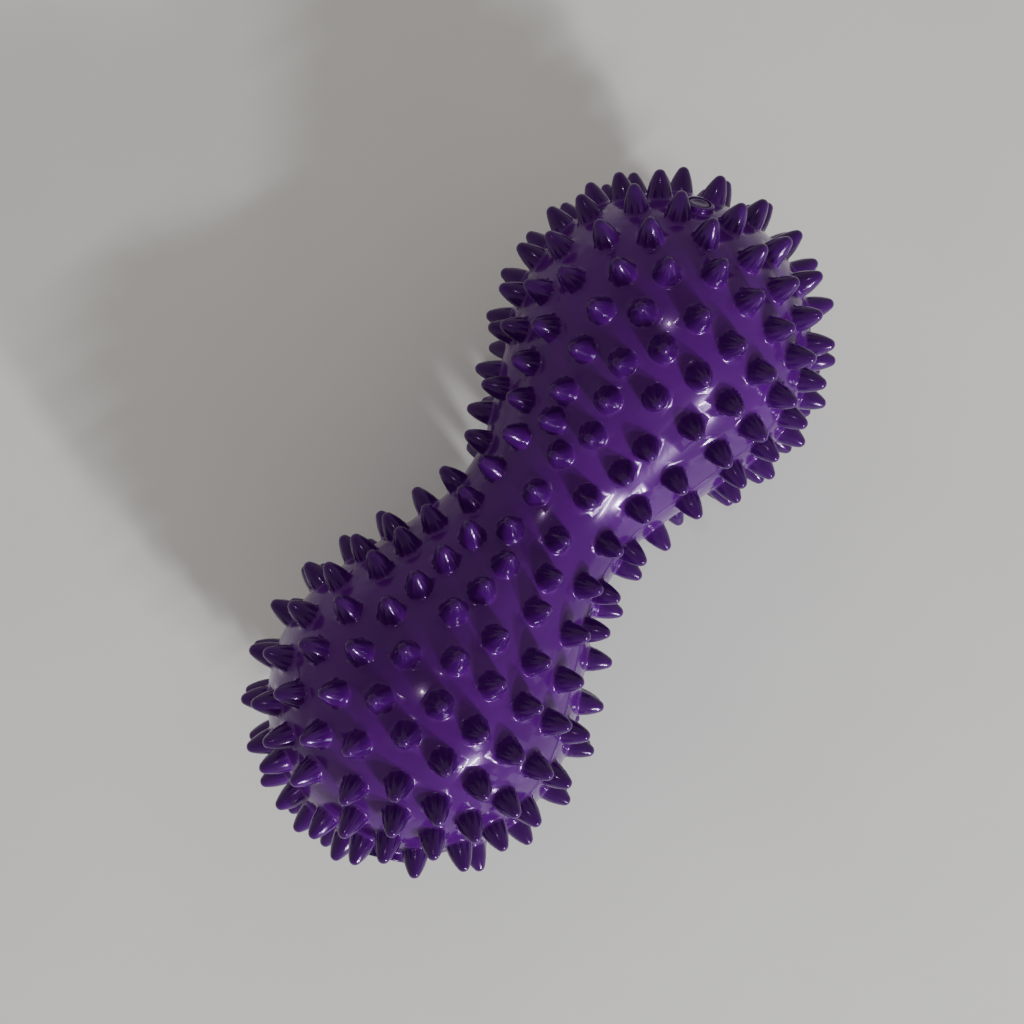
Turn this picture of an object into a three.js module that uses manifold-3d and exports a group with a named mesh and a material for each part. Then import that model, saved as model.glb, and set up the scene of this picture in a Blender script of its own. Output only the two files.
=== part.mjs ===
// Spiky double massage ball ("peanut" shape).
//
// A hollow moulded shell of soft PVC: two round lobes joined by a waist, with blunt spikes standing
// square to the surface all over it. A raised ring on one lobe holds the soft plug that closes the
// air hole, and a low round boss marks the other lobe. Millimetres. +X runs along the ball, from
// lobe to lobe, and +Z is up. The origin is on the ground, under the middle of the ball.
//
// A place on the skin is an arc and an angle. The arc is measured along the skin from the middle of
// the waist, towards +X or -X. The angle is measured about the ball's long axis: 0 is the top line
// and +90 faces -Y.

import * as THREE from 'three';
import { mergeVertices } from 'three/addons/utils/BufferGeometryUtils.js';
import Module from 'manifold-3d';

// ---- driving dimensions -------------------------------------------------------------------------

const LOBE_RADIUS = 31.3; // of each lobe, without its spikes
const LOBE_OFFSET = 43.5; // from the middle of the waist to a lobe's centre
const WAIST_RADIUS = 18.6; // half way between the lobes
const FLANK_SLOPE = THREE.MathUtils.degToRad(22.5); // of the straight flank between waist and lobe
const WALL = 2.4; // thickness of the moulded skin
const SKIN_FACETS = { round: 16, lobe: 5, waist: 2 };
const FACET_SWELL = 0.5; // pushes the corners out, so that the flat facets straddle the round skin
const CAVITY_FACETS = { round: 12, lobe: 4, waist: 2 };

const SPIKE = { height: 5.2, baseWidth: 4.8, tipWidth: 2.3, sunk: 1.5 }; // blunt, four-sided
const CLOSEST = 5.9; // no two spikes stand closer than this, centre to centre

const FOOT = { arc: 45.7, lean: 8, worn: 0.6 }; // the four lowest spikes are worn to flats

const VALVE = { arc: 69.4, angle: -20.5, radius: 3, height: 1.2 };
const RECESS = { radius: 2.3, depth: 1 }; // in the valve ring's top, round the plug's flange
const AIR_HOLE_RADIUS = 1.5;
const GAP = 0.3; // between the plug and everything round it
const PLUG = { flangeThickness: 0.6, tailLength: 1.2, tailRadius: 0.9 };

const BOSS = { arc: -81.2, angle: 56, radius: 4.6, height: 1.5 };
const SUNK = 1.5; // how far a raised ring or boss reaches into the skin
const CLEAR_OF_RING = 3; // from the rim of a ring or boss to a spike's axis

// Lines of spikes on the upper half of the ball: the first spike's arc and angle, the last spike's
// arc and angle, and how many spikes the line holds. The lower half of the ball mirrors them.
const SPIKE_LINES = [
  // round the waist
  [6, -67, -4, -70, 2],
  [2, -43.5, -6, -42.5, 2],
  [11, -11, -6.5, -11.5, 3],
  [7, 14.5, -3, 14.5, 2],
  [11.5, 42.5, -7.5, 44.5, 3],
  [4, 67, -6.5, 63, 2],
  [11, 85.5, -8.5, 84, 3],
  // lobe on +X: near the waist, then level lines on one side and lengthwise lines on the other
  [21.5, 21, 19.5, 65.5, 3],
  [15, 20.5, 15, 20.5, 1],
  [30, 10.5, 30, 66, 4],
  [38, 2, 37.5, 64.5, 5],
  [46, 6, 45, 64, 5],
  [55, 2.5, 52.5, 62, 5],
  [62.5, 11.5, 59.5, 60, 4],
  [69, -3, 69.5, 69, 4],
  [28.5, 83, 60.5, 80, 5],
  [17.5, -2, 32, -7.5, 3],
  [41.5, -10.5, 50, -11, 2],
  [61, -7.5, 61, -7.5, 1],
  [16, -22.5, 22, -23.5, 2],
  [30.5, -23.5, 46, -24, 3],
  [55, -24, 63.5, -23.5, 2],
  [10, -38, 24, -46.5, 3],
  [31.5, -41.5, 51, -38, 3],
  [61, -40.5, 68.5, -43.5, 2],
  [29.5, -59.5, 29.5, -59.5, 1],
  [37.5, -52, 65, -60, 4],
  [17.5, -64, 17.5, -64, 1],
  [12.5, -84, 21, -83, 2],
  [29, -72, 36.5, -70, 2],
  [44.5, -71.5, 62.5, -76, 3],
  [33, -90, 67, -90, 5],
  [69, -64, 71.5, -80, 2],
  // lobe on -X
  [-10.5, 20.5, -17.5, 22, 2],
  [-17.5, 46, -17.5, 46, 1],
  [-14.5, 63, -14.5, 63, 1],
  [-19.5, 83.5, -28.5, 83, 2],
  [-26.5, -8.5, -26, 50, 4],
  [-34, 2.5, -34.5, 65, 5],
  [-42, 6, -43, 65, 5],
  [-49.5, 2.5, -51, 62.5, 5],
  [-58, 10, -57.5, 58.5, 4],
  [-64, -2.5, -65.5, 77.5, 5],
  [-71, 4.5, -72.5, 48, 3],
  [-37, 82.5, -56, 80, 3],
  [-13, -2.5, -20, -4.5, 2],
  [-38, -12.5, -56, -9.5, 3],
  [-12, -25.5, -33.5, -27, 4],
  [-42.5, -26, -67.5, -23, 4],
  [-38, -40.5, -65, -41, 4],
  [-14, -50, -28, -47.5, 3],
  [-35, -59, -61, -53.5, 4],
  [-20, -67, -27.5, -67, 2],
  [-11.5, -84, -29.5, -86, 3],
  [-37.5, -74.5, -63.5, -73, 4],
  [-39, -92, -71.5, -89.5, 5],
  [-71.5, -46, -71.5, -68, 2],
];

// Rings of spikes round the far end of each lobe: arc, first angle and how many.
const END_RINGS = [
  [77.5, 5, 12],
  [86, 17, 6],
  [94.5, 0, 1],
  [-78.5, -8.5, 12],
  [-86.5, 20, 6],
  [-94.5, 0, 1],
];

// ---- worked out from the driving dimensions -----------------------------------------------------

// Each flank is a cone, tangent to its lobe's sphere. A round hollow joins the two at the waist.
const FLANKS_MEET = LOBE_RADIUS / Math.cos(FLANK_SLOPE) - LOBE_OFFSET * Math.tan(FLANK_SLOPE);
const HOLLOW_RADIUS = (WAIST_RADIUS - FLANKS_MEET) / (1 / Math.cos(FLANK_SLOPE) - 1);
const HOLLOW_ARC = HOLLOW_RADIUS * FLANK_SLOPE;
const FLANK_LENGTH =
  (LOBE_OFFSET - (LOBE_RADIUS + HOLLOW_RADIUS) * Math.sin(FLANK_SLOPE)) / Math.cos(FLANK_SLOPE);

const TIP_RADIUS = LOBE_RADIUS + SPIKE.height; // from a lobe's centre to its spikes' tips
const FOOT_LEAN = THREE.MathUtils.degToRad(FOOT.lean);
const AXIS_HEIGHT = TIP_RADIUS * Math.cos(FOOT_LEAN) - FOOT.worn; // of the long axis over the ground

const wasm = await Module();
wasm.setup();

// ---- places on the skin -------------------------------------------------------------------------

// The skin's outline at a distance from the middle of the waist: how far along the axis, how far
// out from it, and how far the outward normal leans from the radius towards the lobe's end.
function outlineAt(arc) {
  const distance = Math.abs(arc);
  if (distance < HOLLOW_ARC) {
    const lean = distance / HOLLOW_RADIUS;
    const along = HOLLOW_RADIUS * Math.sin(lean);
    return { along, out: WAIST_RADIUS + HOLLOW_RADIUS * (1 - Math.cos(lean)), lean: -lean };
  }
  if (distance < HOLLOW_ARC + FLANK_LENGTH) {
    const run = distance - HOLLOW_ARC;
    const along = HOLLOW_RADIUS * Math.sin(FLANK_SLOPE) + run * Math.cos(FLANK_SLOPE);
    return { along, out: FLANKS_MEET + along * Math.tan(FLANK_SLOPE), lean: -FLANK_SLOPE };
  }
  const lean = (distance - HOLLOW_ARC - FLANK_LENGTH) / LOBE_RADIUS - FLANK_SLOPE;
  return { along: LOBE_OFFSET + LOBE_RADIUS * Math.sin(lean), out: LOBE_RADIUS * Math.cos(lean), lean };
}

// A spot on the skin: its position and its outward normal.
function spotAt(arc, angle) {
  const end = Math.sign(arc) || 1;
  const { along, out, lean } = outlineAt(arc);
  const turn = THREE.MathUtils.degToRad(angle);
  const radial = new THREE.Vector3(0, -Math.sin(turn), Math.cos(turn));
  const point = radial.clone().multiplyScalar(out);
  point.x += end * along;
  point.z += AXIS_HEIGHT;
  const normal = radial.multiplyScalar(Math.cos(lean));
  normal.x += end * Math.sin(lean);
  return { point, normal };
}

function spotsAlong([firstArc, firstAngle, lastArc, lastAngle, count]) {
  return Array.from({ length: count }, (_, i) => {
    const share = count > 1 ? i / (count - 1) : 0;
    const arc = THREE.MathUtils.lerp(firstArc, lastArc, share);
    const angle = THREE.MathUtils.lerp(firstAngle, lastAngle, share);
    return [arc, angle];
  });
}

function endRing([arc, firstAngle, count]) {
  return Array.from({ length: count }, (_, i) => [arc, firstAngle + (i * 360) / count]);
}

function footPlaces() {
  const angles = [180 - FOOT.lean, 180 + FOOT.lean];
  return angles.flatMap((angle) => [[FOOT.arc, angle], [-FOOT.arc, angle]]);
}

// Every spike's spot. One that would crowd a spike, a ring or a boss already placed is left out.
function spikeSpots() {
  const upper = SPIKE_LINES.flatMap(spotsAlong);
  const lower = upper.map(([arc, angle]) => [arc, 180 - angle]);
  const places = [...footPlaces(), ...upper, ...END_RINGS.flatMap(endRing), ...lower];
  const raised = [VALVE, BOSS].map((ring) => {
    return { point: spotAt(ring.arc, ring.angle).point, room: ring.radius + CLEAR_OF_RING };
  });
  const spots = [];
  for (const [arc, angle] of places) {
    const spot = spotAt(arc, angle);
    const crowds = (other) => other.point.distanceTo(spot.point) < (other.room ?? CLOSEST);
    if (![...raised, ...spots].some(crowds)) {
      spots.push(spot);
    }
  }
  return spots;
}

// ---- solids -------------------------------------------------------------------------------------

function solidFrom(geometry) {
  const bare = geometry.clone();
  bare.deleteAttribute('normal');
  bare.deleteAttribute('uv');
  const merged = mergeVertices(bare, 1e-4);
  const mesh = new wasm.Mesh({
    numProp: 3,
    vertProperties: new Float32Array(merged.attributes.position.array),
    triVerts: new Uint32Array(merged.index.array),
  });
  return new wasm.Manifold(mesh);
}

function geometryFrom(solid) {
  const mesh = solid.getMesh();
  const geometry = new THREE.BufferGeometry();
  geometry.setAttribute('position', new THREE.BufferAttribute(mesh.vertProperties, 3));
  geometry.setIndex(new THREE.BufferAttribute(mesh.triVerts, 1));
  geometry.computeVertexNormals();
  return geometry;
}

// Stands a geometry built round +Y on a spot, with +Y along the spot's normal.
function standOn(geometry, { point, normal }) {
  const turn = new THREE.Quaternion().setFromUnitVectors(new THREE.Vector3(0, 1, 0), normal);
  return geometry.applyQuaternion(turn).translate(point.x, point.y, point.z);
}

// A round pin from `bottom` to `top`, measured from the skin along a spot's normal.
function pinOn(spot, bottom, top, radius, topRadius = radius) {
  const pin = new THREE.CylinderGeometry(topRadius, radius, top - bottom, 16);
  return solidFrom(standOn(pin.translate(0, (top + bottom) / 2, 0), spot));
}

// The double ball without spikes, `inset` inside the skin's outer face.
function peanut(inset, facets) {
  const outline = [];
  const addPoint = (along, out) => outline.push(new THREE.Vector2(out, along));
  const lobe = LOBE_RADIUS - inset;
  const hollow = HOLLOW_RADIUS + inset;
  for (let i = 0; i <= facets.lobe; i += 1) {
    const lean = THREE.MathUtils.lerp(Math.PI / 2, -FLANK_SLOPE, i / facets.lobe);
    addPoint(-LOBE_OFFSET - lobe * Math.sin(lean), i ? lobe * Math.cos(lean) : 0);
  }
  for (let i = 1; i < facets.waist; i += 1) {
    const lean = THREE.MathUtils.lerp(-FLANK_SLOPE, FLANK_SLOPE, i / facets.waist);
    addPoint(hollow * Math.sin(lean), WAIST_RADIUS + HOLLOW_RADIUS - hollow * Math.cos(lean));
  }
  for (let i = facets.lobe; i >= 0; i -= 1) {
    const lean = THREE.MathUtils.lerp(Math.PI / 2, -FLANK_SLOPE, i / facets.lobe);
    addPoint(LOBE_OFFSET + lobe * Math.sin(lean), i ? lobe * Math.cos(lean) : 0);
  }
  const ball = new THREE.LatheGeometry(outline, facets.round);
  return solidFrom(ball.rotateZ(-Math.PI / 2).translate(0, 0, AXIS_HEIGHT));
}

// A box drawn in from its sunk foot to its blunt tip.
function spikeOn(spot) {
  const { height, baseWidth, tipWidth, sunk } = SPIKE;
  const box = new THREE.BoxGeometry(baseWidth, height + sunk, baseWidth);
  const corners = box.attributes.position;
  for (let i = 0; i < corners.count; i += 1) {
    const width = corners.getY(i) > 0 ? tipWidth : baseWidth;
    corners.setX(i, (Math.sign(corners.getX(i)) * width) / 2);
    corners.setZ(i, (Math.sign(corners.getZ(i)) * width) / 2);
  }
  return solidFrom(standOn(box.translate(0, (height - sunk) / 2, 0), spot));
}

function groundBlock() {
  const depth = 20;
  const length = 4 * (LOBE_OFFSET + TIP_RADIUS);
  return solidFrom(new THREE.BoxGeometry(length, length, depth).translate(0, 0, -depth / 2));
}

// ---- the pieces ---------------------------------------------------------------------------------

const valveSpot = spotAt(VALVE.arc, VALVE.angle);
const recessFloor = VALVE.height - RECESS.depth;

function shellSolid() {
  const skin = peanut(-FACET_SWELL, SKIN_FACETS);
  const boss = pinOn(spotAt(BOSS.arc, BOSS.angle), -SUNK, BOSS.height, BOSS.radius);
  const ring = pinOn(valveSpot, -SUNK, VALVE.height, VALVE.radius);
  const outside = wasm.Manifold.union([skin, boss, ring, ...spikeSpots().map(spikeOn)]);
  const recess = pinOn(valveSpot, recessFloor, VALVE.height + SUNK, RECESS.radius);
  const airHole = pinOn(valveSpot, -2 * WALL, VALVE.height + SUNK, AIR_HOLE_RADIUS);
  const inside = peanut(WALL, CAVITY_FACETS);
  return outside.subtract(wasm.Manifold.union([inside, recess, airHole, groundBlock()]));
}

function plugSolid() {
  const flangeBottom = recessFloor + GAP;
  const stemBottom = -WALL;
  const flange = pinOn(
    valveSpot, flangeBottom, flangeBottom + PLUG.flangeThickness, RECESS.radius - GAP,
  );
  const stem = pinOn(valveSpot, stemBottom, flangeBottom + GAP, AIR_HOLE_RADIUS - GAP);
  const tail = pinOn(
    valveSpot, stemBottom - PLUG.tailLength, stemBottom + GAP, PLUG.tailRadius, AIR_HOLE_RADIUS - GAP,
  );
  return wasm.Manifold.union([flange, stem, tail]);
}

function piece(name, solid, color, roughness) {
  const material = new THREE.MeshStandardMaterial({ color, roughness, metalness: 0 });
  const mesh = new THREE.Mesh(geometryFrom(solid), material);
  mesh.name = name;
  return mesh;
}

const ball = new THREE.Group();
ball.add(piece('shell', shellSolid(), '#4a2385', 0.18));
ball.add(piece('valve_plug', plugSolid(), '#3d1c70', 0.3));

export default ball;
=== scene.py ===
# Spiky double massage ball: the looks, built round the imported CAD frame. Blender 4.5, metres.
#
# The moulded skin, its spikes, the parting ridge, the valve ring and the boss are one fine mesh.
# A distance field says where the finished skin runs, with a soft fillet round the foot of each
# spike, and the joined mesh is drawn onto it. The air plug is a mesh of its own.

import math

import bpy
import numpy as np
from mathutils import Euler, Matrix, Vector


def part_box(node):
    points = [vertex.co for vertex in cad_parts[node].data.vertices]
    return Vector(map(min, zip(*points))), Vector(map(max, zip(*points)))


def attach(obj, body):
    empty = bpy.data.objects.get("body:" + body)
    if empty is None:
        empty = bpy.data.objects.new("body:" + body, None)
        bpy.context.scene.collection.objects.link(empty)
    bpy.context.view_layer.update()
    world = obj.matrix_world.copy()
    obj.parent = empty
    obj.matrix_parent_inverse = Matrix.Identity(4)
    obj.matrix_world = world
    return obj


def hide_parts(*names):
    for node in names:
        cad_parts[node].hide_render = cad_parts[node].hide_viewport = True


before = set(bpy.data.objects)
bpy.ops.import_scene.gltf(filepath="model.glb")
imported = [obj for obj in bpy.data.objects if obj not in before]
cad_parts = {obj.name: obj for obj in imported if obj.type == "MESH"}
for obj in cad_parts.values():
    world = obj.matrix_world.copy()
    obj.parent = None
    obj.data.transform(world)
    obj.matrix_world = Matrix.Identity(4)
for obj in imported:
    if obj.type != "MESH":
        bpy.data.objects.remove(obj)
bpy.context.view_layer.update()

MM = 0.001

# ---- driving dimensions -------------------------------------------------------------------------

LOBE_RADIUS = 31.3 * MM
LOBE_OFFSET = 43.5 * MM
WAIST_RADIUS = 18.6 * MM
FLANK_SLOPE = math.radians(22.5)  # of the straight flank between the waist and a lobe
WALL = 2.4 * MM

SPIKE_HEIGHT = 5.2 * MM
SPIKE_FOOT_RADIUS = 2.6 * MM
SPIKE_TIP_RADIUS = 1.25 * MM
SPIKE_FOOT_SLOPE = math.radians(6)  # of the bowed side, where it leaves the skin
SPIKE_FILLET = 0.6 * MM  # how far the skin and a spike melt into each other
CAD_TIP_WIDTH = 2.3 * MM  # of the CAD model's four-sided spikes
FOOT_LEAN = math.radians(8)  # of the four lowest spikes, which the ball stands on
FOOT_WORN = 0.6 * MM

VALVE_RING = {"radius": 3.0 * MM, "height": 1.2 * MM}
RECESS = {"radius": 2.3 * MM, "floor": 0.2 * MM}
AIR_HOLE_RADIUS = 1.5 * MM
PLUG_GAP = 0.3 * MM
PLUG = {"flange": 0.6 * MM, "tail": 1.2 * MM, "tail_radius": 0.9 * MM}
BOSS = {"arc": -81.2 * MM, "angle": math.radians(56), "radius": 4.6 * MM, "height": 1.5 * MM}
RIM_ROUND = 0.35 * MM  # of the rims of the ring and the boss
RING_FILLET = 0.5 * MM

SEAM_ANGLE = math.radians(61)  # where the mould's halves meet, about the long axis from the top
SEAM_HEIGHT = 0.16 * MM
SEAM_HALF_WIDTH = math.radians(0.75)

# Pigments, as the darkest and the lightest red, green and blue of their clouds.
SKIN_PIGMENT = ((0.056, 0.0, 0.116), (0.086, 0.0, 0.176))
PLUG_PIGMENT = ((0.030, 0.002, 0.070), (0.042, 0.003, 0.095))
FLOOR_PAINT = ((0.76, 0.755, 0.735), (0.80, 0.795, 0.775))
SKIN_ROUGHNESS = (0.15, 0.21)
PLUG_ROUGHNESS = (0.22, 0.34)
PAINTED_SPIKE_SHADE = (0.62, 0.55, 0.66)  # painted shade: how much of the skin's colour a spike keeps, from about 1.8 mm over the skin up

DAYLIGHT = (0.96, 0.98, 1.0)
LAMPLIGHT = (1.0, 0.98, 0.95)
WALL_LIGHT = 0.51  # the room's brightness at the sides
OVERHEAD_LIGHT = 0.29
CAMERA_RISE = 227.7 * MM  # over the long axis
CAMERA_SHIFT = -16.4 * MM
CAMERA_TURN = (3.78, -0.74, -56.13)  # in degrees
CAMERA_LENS = 38.67  # in millimetres, on a 36 mm sensor

# Each flank is a cone, tangent to its lobe's sphere. A round hollow joins the two at the waist.
FLANKS_MEET = LOBE_RADIUS / math.cos(FLANK_SLOPE) - LOBE_OFFSET * math.tan(FLANK_SLOPE)
HOLLOW_RADIUS = (WAIST_RADIUS - FLANKS_MEET) / (1 / math.cos(FLANK_SLOPE) - 1)
HOLLOW_HEIGHT = WAIST_RADIUS + HOLLOW_RADIUS  # of the hollow's centre over the long axis
FLANK_LENGTH = LOBE_OFFSET * math.cos(FLANK_SLOPE) - HOLLOW_HEIGHT * math.sin(FLANK_SLOPE)
AXIS_HEIGHT = (LOBE_RADIUS + SPIKE_HEIGHT) * math.cos(FOOT_LEAN) - FOOT_WORN

# A spike's side is a round arc, about a centre beyond the spike's axis and below the skin. It is
# tangent to the ball that rounds the tip.
TIP_MIDDLE = SPIKE_HEIGHT - SPIKE_TIP_RADIUS
SIDE_RADIUS = (SPIKE_FOOT_RADIUS**2 + TIP_MIDDLE**2 - SPIKE_TIP_RADIUS**2) / (
    2 * (SPIKE_FOOT_RADIUS * math.cos(SPIKE_FOOT_SLOPE) - SPIKE_TIP_RADIUS)
    - 2 * TIP_MIDDLE * math.sin(SPIKE_FOOT_SLOPE)
)
SIDE_BEYOND = SIDE_RADIUS * math.cos(SPIKE_FOOT_SLOPE) - SPIKE_FOOT_RADIUS
SIDE_BELOW = SIDE_RADIUS * math.sin(SPIKE_FOOT_SLOPE)
SIDE_TOP_LEAN = math.atan2(TIP_MIDDLE + SIDE_BELOW, SIDE_BEYOND)  # of the side's normal at the tip


# ---- the skin without spikes --------------------------------------------------------------------

def skin_distance(points):
    """How far each point is outside the smooth double ball."""
    along = np.abs(points[:, 0])
    out = np.hypot(points[:, 1], points[:, 2] - AXIS_HEIGHT)
    past_flank = (along - LOBE_OFFSET) * math.cos(FLANK_SLOPE) + out * math.sin(FLANK_SLOPE)
    lobe = np.hypot(along - LOBE_OFFSET, out) - LOBE_RADIUS
    flank = (LOBE_OFFSET - along) * math.sin(FLANK_SLOPE) + out * math.cos(FLANK_SLOPE) - LOBE_RADIUS
    waist = HOLLOW_RADIUS - np.hypot(along, out - HOLLOW_HEIGHT)
    return np.where(past_flank > 0, lobe, np.where(past_flank > -FLANK_LENGTH, flank, waist))


def seam_rise(points):
    """The height of the parting ridge at each point: a low round bead in two lines."""
    angle = np.arctan2(-points[:, 1], points[:, 2] - AXIS_HEIGHT)
    aside = np.abs((angle - SEAM_ANGLE + math.pi / 2) % math.pi - math.pi / 2)
    return SEAM_HEIGHT * np.exp(-((aside / SEAM_HALF_WIDTH) ** 2))


def gradient(field, points):
    """The unit direction in which a distance field grows fastest."""
    step = 0.02 * MM
    slopes = []
    for axis in np.eye(3):
        slopes.append(field(points + step * axis) - field(points - step * axis))
    slopes = np.stack(slopes, axis=1)
    return slopes / np.linalg.norm(slopes, axis=1, keepdims=True)


def lobe_spot(arc, angle):
    """The place and the outward normal at an arc from the waist's middle and an angle from the top."""
    lean = (abs(arc) - HOLLOW_RADIUS * FLANK_SLOPE - FLANK_LENGTH) / LOBE_RADIUS - FLANK_SLOPE
    end = math.copysign(1, arc)
    radial = np.array([0, -math.sin(angle), math.cos(angle)])
    normal = radial * math.cos(lean) + np.array([end * math.sin(lean), 0, 0])
    centre = np.array([end * LOBE_OFFSET, 0, AXIS_HEIGHT])
    return centre + LOBE_RADIUS * normal, normal


# ---- where the spikes and the valve are, from the frame ------------------------------------------

def vertices_of(mesh):
    flat = np.empty(len(mesh.vertices) * 3)
    mesh.vertices.foreach_get("co", flat)
    return flat.reshape(-1, 3)


def linked_groups(points, reach):
    """Sorts points into groups, each linked by steps shorter than reach."""
    waiting = set(range(len(points)))
    groups = []
    while waiting:
        group = [waiting.pop()]
        for member in group:
            near = [i for i in waiting if np.linalg.norm(points[i] - points[member]) < reach]
            waiting.difference_update(near)
            group.extend(near)
        groups.append(points[group])
    return groups


def skin_spots(points):
    """The nearest places on the smooth skin, and the outward normals there."""
    normals = gradient(skin_distance, points)
    return points - normals * skin_distance(points)[:, None], normals


def spike_spots():
    """Where the CAD shell's spikes stand: the middles of their blunt tips, brought down to the skin."""
    corners = np.unique(np.round(vertices_of(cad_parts["shell"].data), 6), axis=0)
    corners = corners[skin_distance(corners) > 0.75 * SPIKE_HEIGHT]
    groups = linked_groups(corners, 1.15 * CAD_TIP_WIDTH)
    tips = np.array(sorted(tuple(group.mean(axis=0)) for group in groups))
    return skin_spots(tips)


def valve_spot():
    low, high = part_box("valve_plug")
    places, normals = skin_spots(np.array([(low + high) / 2]))
    return places[0], normals[0]


SPIKES = spike_spots()
VALVE_SPOT = valve_spot()
BOSS_SPOT = lobe_spot(BOSS["arc"], BOSS["angle"])


# ---- the finished skin --------------------------------------------------------------------------

def from_spot(points, spot):
    """How far each point is out from a spot's axis, and how high over the skin at the spot."""
    place, normal = spot
    offset = points - place
    height = (offset * normal).sum(axis=1)
    out = np.linalg.norm(offset - height[:, None] * normal, axis=1)
    return out, height


def spike_distance(out, height):
    """Distance to a blunt spike: its bowed side, and over that its round tip."""
    beyond = out + SIDE_BEYOND
    above = height + SIDE_BELOW
    side = np.hypot(beyond, above) - SIDE_RADIUS
    tip = np.hypot(out, height - TIP_MIDDLE) - SPIKE_TIP_RADIUS
    return np.where(np.arctan2(above, beyond) > SIDE_TOP_LEAN, tip, side)


def ring_distance(out, height, ring):
    """Distance to a flat round boss with a rounded rim, which reaches down into the skin."""
    past_side = out - ring["radius"] + RIM_ROUND
    past_top = height - ring["height"] + RIM_ROUND
    outside = np.hypot(np.maximum(past_side, 0), np.maximum(past_top, 0))
    inside = np.minimum(np.maximum(past_side, past_top), 0)
    return outside + inside - RIM_ROUND


def melted(first, second, reach):
    """The union of two distance fields, with a fillet where they meet."""
    overlap = np.maximum(reach - np.abs(first - second), 0)
    return np.minimum(first, second) - overlap**2 / (4 * reach)


def nearest_spike(points):
    """The index of the spike whose middle is nearest to each point."""
    places, normals = SPIKES
    middles = places + normals * SPIKE_HEIGHT / 3
    nearest = []
    for chunk in np.array_split(points, max(1, len(points) // 5000)):
        squares = ((chunk[:, None, :] - middles[None, :, :]) ** 2).sum(axis=2)
        nearest.append(squares.argmin(axis=1))
    return np.concatenate(nearest)


def finished_skin(nearest):
    """The distance field of the whole moulding, for points whose nearest spikes are known."""
    places, normals = SPIKES

    def field(points):
        distance = skin_distance(points) - seam_rise(points)
        spike = spike_distance(*from_spot(points, (places[nearest], normals[nearest])))
        distance = melted(distance, spike, SPIKE_FILLET)
        for spot, ring in ((VALVE_SPOT, VALVE_RING), (BOSS_SPOT, BOSS)):
            distance = melted(distance, ring_distance(*from_spot(points, spot), ring), RING_FILLET)
        return distance

    return field


# ---- meshes -------------------------------------------------------------------------------------

def new_object(name, vertices, faces):
    mesh = bpy.data.meshes.new(name)
    mesh.from_pydata([tuple(v) for v in vertices], [], faces)
    mesh.update()
    made = bpy.data.objects.new(name, mesh)
    bpy.context.scene.collection.objects.link(made)
    return made


def turned(profile, angles):
    """A closed mesh turned about +Z. The profile runs from the axis, up the outside, to the axis."""
    rings = profile[1:-1]
    count = len(angles)
    vertices = [(0, 0, profile[0][1])]
    for out, height in rings:
        vertices.extend((out * math.cos(a), out * math.sin(a), height) for a in angles)
    vertices.append((0, 0, profile[-1][1]))
    last = len(vertices) - 1
    faces = []
    for i in range(count):
        j = (i + 1) % count
        faces.append((0, 1 + j, 1 + i))
        for row in range(len(rings) - 1):
            low = 1 + row * count
            faces.append((low + i, low + j, low + count + j, low + count + i))
        top = 1 + (len(rings) - 1) * count
        faces.append((top + i, top + j, last))
    return vertices, faces


def even_angles(count):
    return [2 * math.pi * i / count for i in range(count)]


def stood(vertices, spot):
    """Turned vertices, with their +Z along a spot's normal and their foot on the spot."""
    place, normal = spot
    turn = Vector((0, 0, 1)).rotation_difference(Vector(normal))
    matrix = Matrix.Translation(Vector(place)) @ turn.to_matrix().to_4x4()
    return [matrix @ Vector(v) for v in vertices]


def stood_object(name, profile, spots, sides):
    """One mesh holding a copy of a turned shape on each spot."""
    shape, shape_faces = turned(profile, even_angles(sides))
    vertices = []
    faces = []
    for spot in spots:
        start = len(vertices)
        vertices.extend(stood(shape, spot))
        faces.extend(tuple(start + i for i in face) for face in shape_faces)
    return new_object(name, vertices, faces)


def ball_angles(count):
    """Even angles about the long axis, with close ones across each parting ridge."""
    close = [SEAM_HALF_WIDTH * share for share in (-2, -1.2, -0.6, 0, 0.6, 1.2, 2)]
    seams = [SEAM_ANGLE + half + offset for half in (0, math.pi) for offset in close]
    room = 2 * math.pi / count
    even = []
    for angle in even_angles(count):
        gaps = [abs((angle - seam + math.pi) % (2 * math.pi) - math.pi) for seam in seams]
        if min(gaps) > room / 2:
            even.append(angle)
    return sorted(angle % (2 * math.pi) for angle in even + seams)


def double_ball(name, inset, angles, lobe_steps, flank_steps, waist_steps):
    """The smooth double ball, inset inside the skin's outer face."""
    lobe = LOBE_RADIUS - inset
    hollow = HOLLOW_RADIUS + inset
    outline = []
    for lean in np.linspace(math.pi / 2, -FLANK_SLOPE, lobe_steps + 1):
        outline.append((lobe * math.cos(lean), -LOBE_OFFSET - lobe * math.sin(lean)))
    flank_end = (HOLLOW_HEIGHT - hollow * math.cos(FLANK_SLOPE), -hollow * math.sin(FLANK_SLOPE))
    for share in np.arange(1, flank_steps) / flank_steps:
        outline.append(tuple(Vector(outline[lobe_steps]).lerp(Vector(flank_end), share)))
    for lean in np.linspace(FLANK_SLOPE, 0, waist_steps, endpoint=False):
        outline.append((HOLLOW_HEIGHT - hollow * math.cos(lean), -hollow * math.sin(lean)))
    middle = (WAIST_RADIUS - inset, 0)
    other_half = [(out, -along) for out, along in reversed(outline)]
    # Angle 0 of the turned mesh is its +X, which becomes the ball's top line.
    vertices, faces = turned([*outline, middle, *other_half], angles)
    laid = [(z, -y, x + AXIS_HEIGHT) for x, y, z in vertices]
    return new_object(name, laid, faces)


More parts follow.
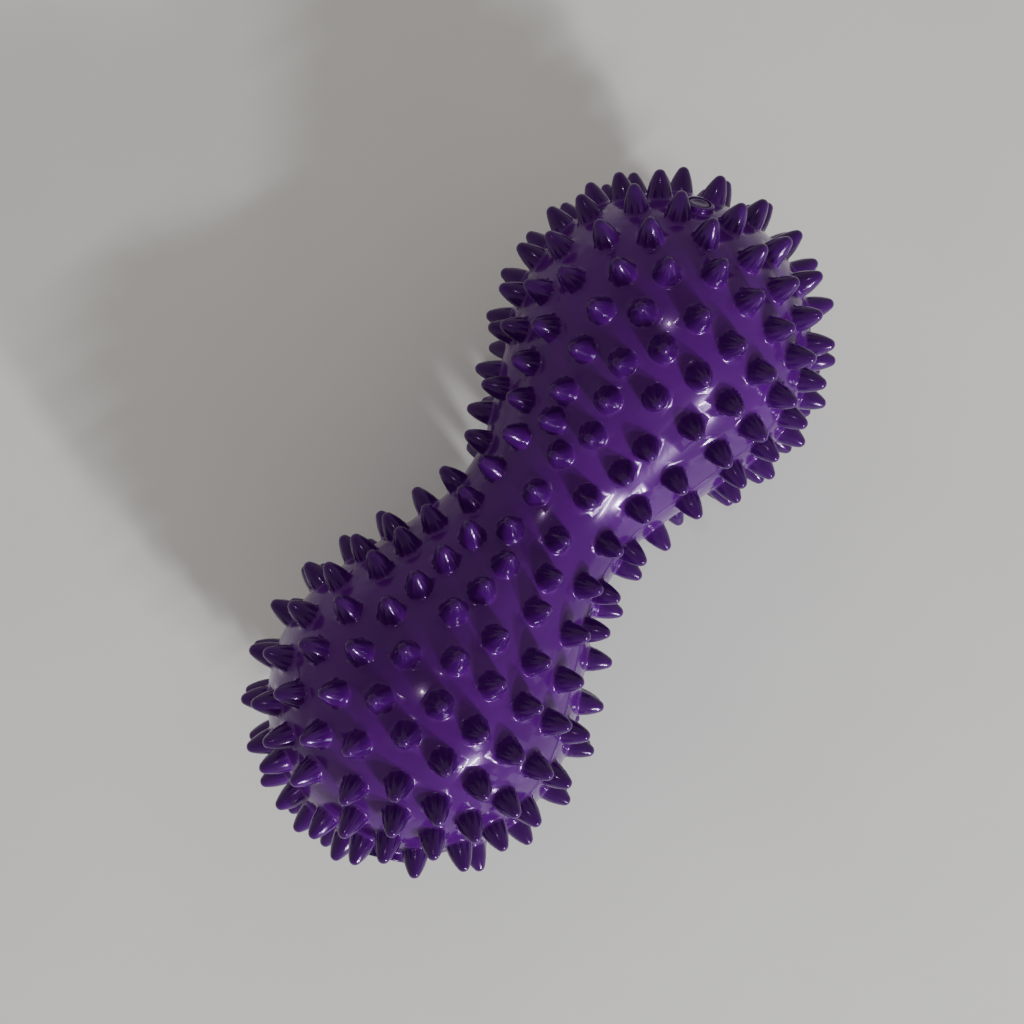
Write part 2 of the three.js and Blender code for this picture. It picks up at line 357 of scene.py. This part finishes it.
def spike_profile():
    """From the foot, sunk in the skin, out over a thin skirt and up the bowed side to the tip."""
    sunk = [(0, -1.3), (2.3, -1.3), (3.0, -0.6), (2.95, 0.06), (2.8, 0.18), (2.68, 0.42)]
    profile = [(out * MM, height * MM) for out, height in sunk]
    for share in (0.12, 0.34, 0.56, 0.78, 1):
        lean = SPIKE_FOOT_SLOPE + (SIDE_TOP_LEAN - SPIKE_FOOT_SLOPE) * share
        out = SIDE_RADIUS * math.cos(lean) - SIDE_BEYOND
        profile.append((out, SIDE_RADIUS * math.sin(lean) - SIDE_BELOW))
    for share in (0.3, 0.58, 0.83):
        lean = SIDE_TOP_LEAN + (math.pi / 2 - SIDE_TOP_LEAN) * share
        profile.append((SPIKE_TIP_RADIUS * math.cos(lean), TIP_MIDDLE + SPIKE_TIP_RADIUS * math.sin(lean)))
    profile.append((0, SPIKE_HEIGHT))
    return profile


def ring_profile(ring, dish):
    """A round boss, sunk in the skin, with a rounded rim and a dished top."""
    radius, top = ring["radius"], ring["height"]
    profile = [(0, -1.3 * MM), (radius, -1.3 * MM), (radius + 0.5 * MM, -0.5 * MM)]
    profile += [(radius + 0.4 * MM, 0.05 * MM), (radius + 0.1 * MM, 0.25 * MM)]
    for angle in np.radians([0, 25, 50, 75]):
        out = radius - RIM_ROUND * (1 - math.cos(angle))
        profile.append((out, top - RIM_ROUND * (1 - math.sin(angle))))
    profile += [(0.78 * radius, top), (0.7 * radius, top - dish), (0, top - dish)]
    return profile


def valve_cutter_profile():
    over = VALVE_RING["height"] + 1 * MM
    chamfer = 0.12 * MM
    return [
        (0, -2 * WALL),
        (AIR_HOLE_RADIUS, -2 * WALL),
        (AIR_HOLE_RADIUS, RECESS["floor"]),
        (RECESS["radius"], RECESS["floor"]),
        (RECESS["radius"], VALVE_RING["height"] - chamfer),
        (RECESS["radius"] + chamfer, VALVE_RING["height"]),
        (RECESS["radius"] + chamfer, over),
        (0, over),
    ]


def combine(base, tool, operation):
    """Joins or cuts base by tool, and removes the tool."""
    step = base.modifiers.new("combine", "BOOLEAN")
    step.operation = operation
    step.solver = "MANIFOLD"
    step.object = tool
    graph = bpy.context.evaluated_depsgraph_get()
    result = bpy.data.meshes.new_from_object(base.evaluated_get(graph))
    base.modifiers.clear()
    base.data = result
    bpy.data.objects.remove(tool)


def spaced_batches(spots, spacing):
    """Splits spots into batches in which no two are closer than spacing."""
    batches = []
    for place, normal in zip(*spots):
        for batch in batches:
            if all(np.linalg.norm(place - other) > spacing for other, _ in batch):
                batch.append((place, normal))
                break
        else:
            batches.append([(place, normal)])
    return batches


def inside_ring_top(points):
    """Which points lie on a ring's or boss's top, inside its rim."""
    found = np.zeros(len(points), bool)
    for spot, ring in ((VALVE_SPOT, VALVE_RING), (BOSS_SPOT, BOSS)):
        out, height = from_spot(points, spot)
        found |= (out < 0.79 * ring["radius"]) & (height > -2 * WALL)
    return found


def draw_onto_skin(mesh):
    """Moves the outer vertices onto the finished skin, and wears the lowest tips to flats."""
    points = vertices_of(mesh)
    field = finished_skin(nearest_spike(points))
    free = ~inside_ring_top(points)
    for _ in range(3):
        move = field(points)[:, None] * gradient(field, points)
        points[free] -= np.clip(move, -0.5 * MM, 0.5 * MM)[free]
    points[:, 2] = np.maximum(points[:, 2], 0)
    mesh.vertices.foreach_set("co", points.ravel())
    mesh.update()


def shade_by_field(mesh):
    """Gives the outer skin the exact normals of its distance field, and other faces plain ones."""
    points = vertices_of(mesh)
    field = finished_skin(nearest_spike(points))
    on_skin = (np.abs(field(points)) < 0.03 * MM) & ~inside_ring_top(points) & (points[:, 2] > 0.01 * MM)
    smooth = gradient(field, points)
    mesh.polygons.foreach_set("use_smooth", np.ones(len(mesh.polygons), bool))
    mesh.set_sharp_from_angle(angle=math.radians(40))
    corner_vertex = np.empty(len(mesh.loops), int)
    mesh.loops.foreach_get("vertex_index", corner_vertex)
    flat_normals = np.empty(len(mesh.polygons) * 3)
    mesh.polygons.foreach_get("normal", flat_normals)
    sizes = np.empty(len(mesh.polygons), int)
    mesh.polygons.foreach_get("loop_total", sizes)
    face_normals = np.repeat(flat_normals.reshape(-1, 3), sizes, axis=0)
    corner_normals = smooth[corner_vertex]
    agrees = (corner_normals * face_normals).sum(axis=1) > math.cos(math.radians(50))
    corner_normals[~(agrees & on_skin[corner_vertex])] = 0
    mesh.normals_split_custom_set([tuple(n) for n in corner_normals])


def note_spike_share(mesh):
    """Stores 0 on the thin skin to 1 on a spike, by how far a place is over the skin. It weights the
    painted shade on the spikes.
    """
    share = mesh.attributes.new("spike_share", "FLOAT", "POINT")
    rise = (skin_distance(vertices_of(mesh)) - 0.25 * MM) / (0.3 * SPIKE_HEIGHT)
    share.data.foreach_set("value", np.clip(rise, 0, 1))


def make_shell():
    """The moulding: spikes and rings joined on, drawn onto the finished skin, then hollowed."""
    shell = double_ball("skin", 0, ball_angles(100), lobe_steps=40, flank_steps=7, waist_steps=9)
    for batch in spaced_batches(SPIKES, 2.3 * SPIKE_FOOT_RADIUS + 2 * SPIKE_FILLET):
        combine(shell, stood_object("spikes", spike_profile(), batch, sides=16), "UNION")
    for spot, ring, dish in ((VALVE_SPOT, VALVE_RING, 0), (BOSS_SPOT, BOSS, 0.3 * MM)):
        combine(shell, stood_object("ring", ring_profile(ring, dish), [spot], sides=40), "UNION")
    draw_onto_skin(shell.data)
    valve_cut = stood_object("valve_cut", valve_cutter_profile(), [VALVE_SPOT], sides=40)
    combine(shell, valve_cut, "DIFFERENCE")
    cavity = double_ball("cavity", WALL, even_angles(56), lobe_steps=20, flank_steps=4, waist_steps=5)
    combine(shell, cavity, "DIFFERENCE")
    shade_by_field(shell.data)
    # The weights for the painted shade that darkens the spikes.
    note_spike_share(shell.data)
    return shell


def plug_profile():
    """The plug from its tail up: a tapered tail, a stem and a round flange with a dished top."""
    floor = RECESS["floor"] + PLUG_GAP
    top = floor + PLUG["flange"]
    flange = RECESS["radius"] - PLUG_GAP
    stem = AIR_HOLE_RADIUS - PLUG_GAP
    bevel = 0.12 * MM
    tail_end = -WALL - PLUG["tail"]
    return [
        (0, tail_end),
        (PLUG["tail_radius"] - 2 * bevel, tail_end),
        (PLUG["tail_radius"], tail_end + 2 * bevel),
        (stem, -WALL),
        (stem, floor - 0.02 * MM),
        (stem + 0.02 * MM, floor),
        (flange - bevel, floor),
        (flange, floor + bevel),
        (flange, top - bevel),
        (flange - bevel, top),
        (0.72 * flange, top),
        (0.62 * flange, top - bevel),
        (0, top - bevel),
    ]


def make_plug():
    plug = stood_object("air_plug", plug_profile(), [VALVE_SPOT], sides=48)
    plug.data.polygons.foreach_set("use_smooth", np.ones(len(plug.data.polygons), bool))
    plug.data.set_sharp_from_angle(angle=math.radians(50))
    return plug


# ---- materials ----------------------------------------------------------------------------------

class Nodes:
    """Short ways to add and link shader nodes."""

    def __init__(self, material):
        self.tree = material.node_tree
        self.shader = self.tree.nodes["Principled BSDF"]

    def add(self, kind, **values):
        node = self.tree.nodes.new(kind)
        for name, value in values.items():
            if name in node.inputs:
                node.inputs[name].default_value = value
            else:
                setattr(node, name, value)
        return node

    def spot_in_object(self):
        return self.add("ShaderNodeTexCoord").outputs["Object"]

    def link(self, source, target):
        self.tree.links.new(source, target)

    def noise(self, scale, detail, distortion=0.0):
        node = self.add("ShaderNodeTexNoise", Scale=scale, Detail=detail, Distortion=distortion)
        self.link(self.spot_in_object(), node.inputs["Vector"])
        return node.outputs["Fac"]

    def ramp(self, source, stops):
        node = self.add("ShaderNodeValToRGB")
        for stop, (position, color) in zip(node.color_ramp.elements, stops):
            stop.position = position
            stop.color = (*color, 1)
        self.link(source, node.inputs["Fac"])
        return node.outputs["Color"]

    def spread(self, source, low, high):
        node = self.add("ShaderNodeMapRange", **{"To Min": low, "To Max": high})
        self.link(source, node.inputs["Value"])
        return node.outputs["Result"]

    def bump(self, height, distance, below=None):
        node = self.add("ShaderNodeBump", Distance=distance)
        self.link(height, node.inputs["Height"])
        if below:
            self.link(below, node.inputs["Normal"])
        return node.outputs["Normal"]


def purple_pvc(name, pigment_range, roughness_range):
    """Glossy soft PVC: cloudy pigment, faint flow waves and fine grain. Painted shade darkens the spikes
    by their height over the skin.
    """
    material = bpy.data.materials.new(name)
    material.use_nodes = True
    nodes = Nodes(material)
    shader = nodes.shader
    shader.inputs["IOR"].default_value = 1.4
    shader.inputs["Specular Tint"].default_value = (0.80, 0.52, 1.0, 1)
    shader.inputs["Coat Weight"].default_value = 0.2
    shader.inputs["Coat Tint"].default_value = (0.93, 0.80, 1.0, 1)
    shader.inputs["Coat Roughness"].default_value = 0.04
    clouds = nodes.ramp(nodes.noise(55, 4, 0.6), zip((0.3, 0.72), pigment_range))
    # Painted shade: the base colour is darkened on the spikes, more the higher a place is over the skin.
    painted_shade_weight = nodes.add("ShaderNodeAttribute", attribute_name="spike_share")
    painted_shade = nodes.ramp(painted_shade_weight.outputs["Fac"], ((0, (1, 1, 1)), (1, PAINTED_SPIKE_SHADE)))
    pigment_and_shade = nodes.add("ShaderNodeVectorMath", operation="MULTIPLY")
    nodes.link(clouds, pigment_and_shade.inputs[0])
    nodes.link(painted_shade, pigment_and_shade.inputs[1])
    nodes.link(pigment_and_shade.outputs["Vector"], shader.inputs["Base Color"])
    nodes.link(nodes.spread(nodes.noise(160, 3), *roughness_range), shader.inputs["Roughness"])
    waves = nodes.bump(nodes.noise(110, 2, 0.8), 0.05 * MM)
    grain = nodes.bump(nodes.noise(2600, 2), 0.004 * MM, waves)
    nodes.link(grain, shader.inputs["Normal"])
    return material


def pale_floor():
    """A plain pale table top, with a faint mottle."""
    material = bpy.data.materials.new("pale_floor")
    material.use_nodes = True
    nodes = Nodes(material)
    mottle = nodes.ramp(nodes.noise(14, 3), zip((0.3, 0.7), FLOOR_PAINT))
    nodes.link(mottle, nodes.shader.inputs["Base Color"])
    nodes.shader.inputs["Roughness"].default_value = 0.65
    return material


# ---- stage, lights and camera -------------------------------------------------------------------

def make_floor():
    half = 3.0
    corners = [(-half, -half, 0), (half, -half, 0), (half, half, 0), (-half, half, 0)]
    floor = new_object("floor", corners, [(0, 1, 2, 3)])
    floor.location.z = -0.2 * MM
    floor.data.materials.append(pale_floor())


def area_light(name, azimuth, elevation, distance, size, watts, color):
    """A light, wide and high as given, aimed at the ball from a direction in degrees."""
    turn = math.radians(azimuth)
    rise = math.radians(elevation)
    way = Vector((math.cos(rise) * math.cos(turn), math.cos(rise) * math.sin(turn), math.sin(rise)))
    lamp = bpy.data.lights.new(name, "AREA")
    lamp.shape = "RECTANGLE"
    lamp.size, lamp.size_y = size
    lamp.energy = watts
    lamp.color = color
    light = bpy.data.objects.new(name, lamp)
    light.location = way * distance + Vector((0, 0, AXIS_HEIGHT))
    light.rotation_euler = way.to_track_quat("Z", "Y").to_euler()
    bpy.context.scene.collection.objects.link(light)


def make_room():
    """Light from all round: pale walls, and a darker place overhead."""
    world = bpy.data.worlds.new("room")
    world.use_nodes = True
    tree = world.node_tree
    background = tree.nodes["Background"]
    background.inputs["Color"].default_value = (1.0, 0.96, 0.91, 1)
    direction = tree.nodes.new("ShaderNodeTexCoord")
    split = tree.nodes.new("ShaderNodeSeparateXYZ")
    dimmed = tree.nodes.new("ShaderNodeMapRange")
    dimmed.interpolation_type = "SMOOTHSTEP"
    limits = {"From Min": 0.55, "From Max": 0.95, "To Min": WALL_LIGHT, "To Max": OVERHEAD_LIGHT}
    for name, value in limits.items():
        dimmed.inputs[name].default_value = value
    tree.links.new(direction.outputs["Generated"], split.inputs["Vector"])
    tree.links.new(split.outputs["Z"], dimmed.inputs["Value"])
    tree.links.new(dimmed.outputs["Result"], background.inputs["Strength"])
    bpy.context.scene.world = world


def make_lights():
    area_light("window", -111, 20, 1.5, (0.08, 0.12), 14, DAYLIGHT)
    area_light("window_head", -110, 31, 1.5, (0.34, 0.03), 10, DAYLIGHT)
    area_light("ceiling_lamp", 22, 84, 1.2, (0.035, 0.035), 0.8, LAMPLIGHT)


def make_camera():
    """Looks almost straight down, with the ball lying across the frame from corner to corner."""
    camera = bpy.data.cameras.new("camera")
    camera.sensor_width = 36
    camera.lens = CAMERA_LENS
    camera.clip_start = 0.01
    seat = bpy.data.objects.new("camera", camera)
    seat.location = Vector((CAMERA_SHIFT, 0, AXIS_HEIGHT + CAMERA_RISE))
    seat.rotation_euler = Euler(np.radians(CAMERA_TURN))
    bpy.context.scene.collection.objects.link(seat)
    bpy.context.scene.camera = seat


# ---- assembly -----------------------------------------------------------------------------------

make_camera()
make_room()
make_lights()
make_floor()

skin = make_shell()
skin.data.materials.clear()
skin.data.materials.append(purple_pvc("purple_skin", SKIN_PIGMENT, SKIN_ROUGHNESS))
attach(skin, "ball")
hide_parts("shell")

plug = make_plug()
plug.data.materials.append(purple_pvc("purple_plug", PLUG_PIGMENT, PLUG_ROUGHNESS))
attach(plug, "plug")
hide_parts("valve_plug")
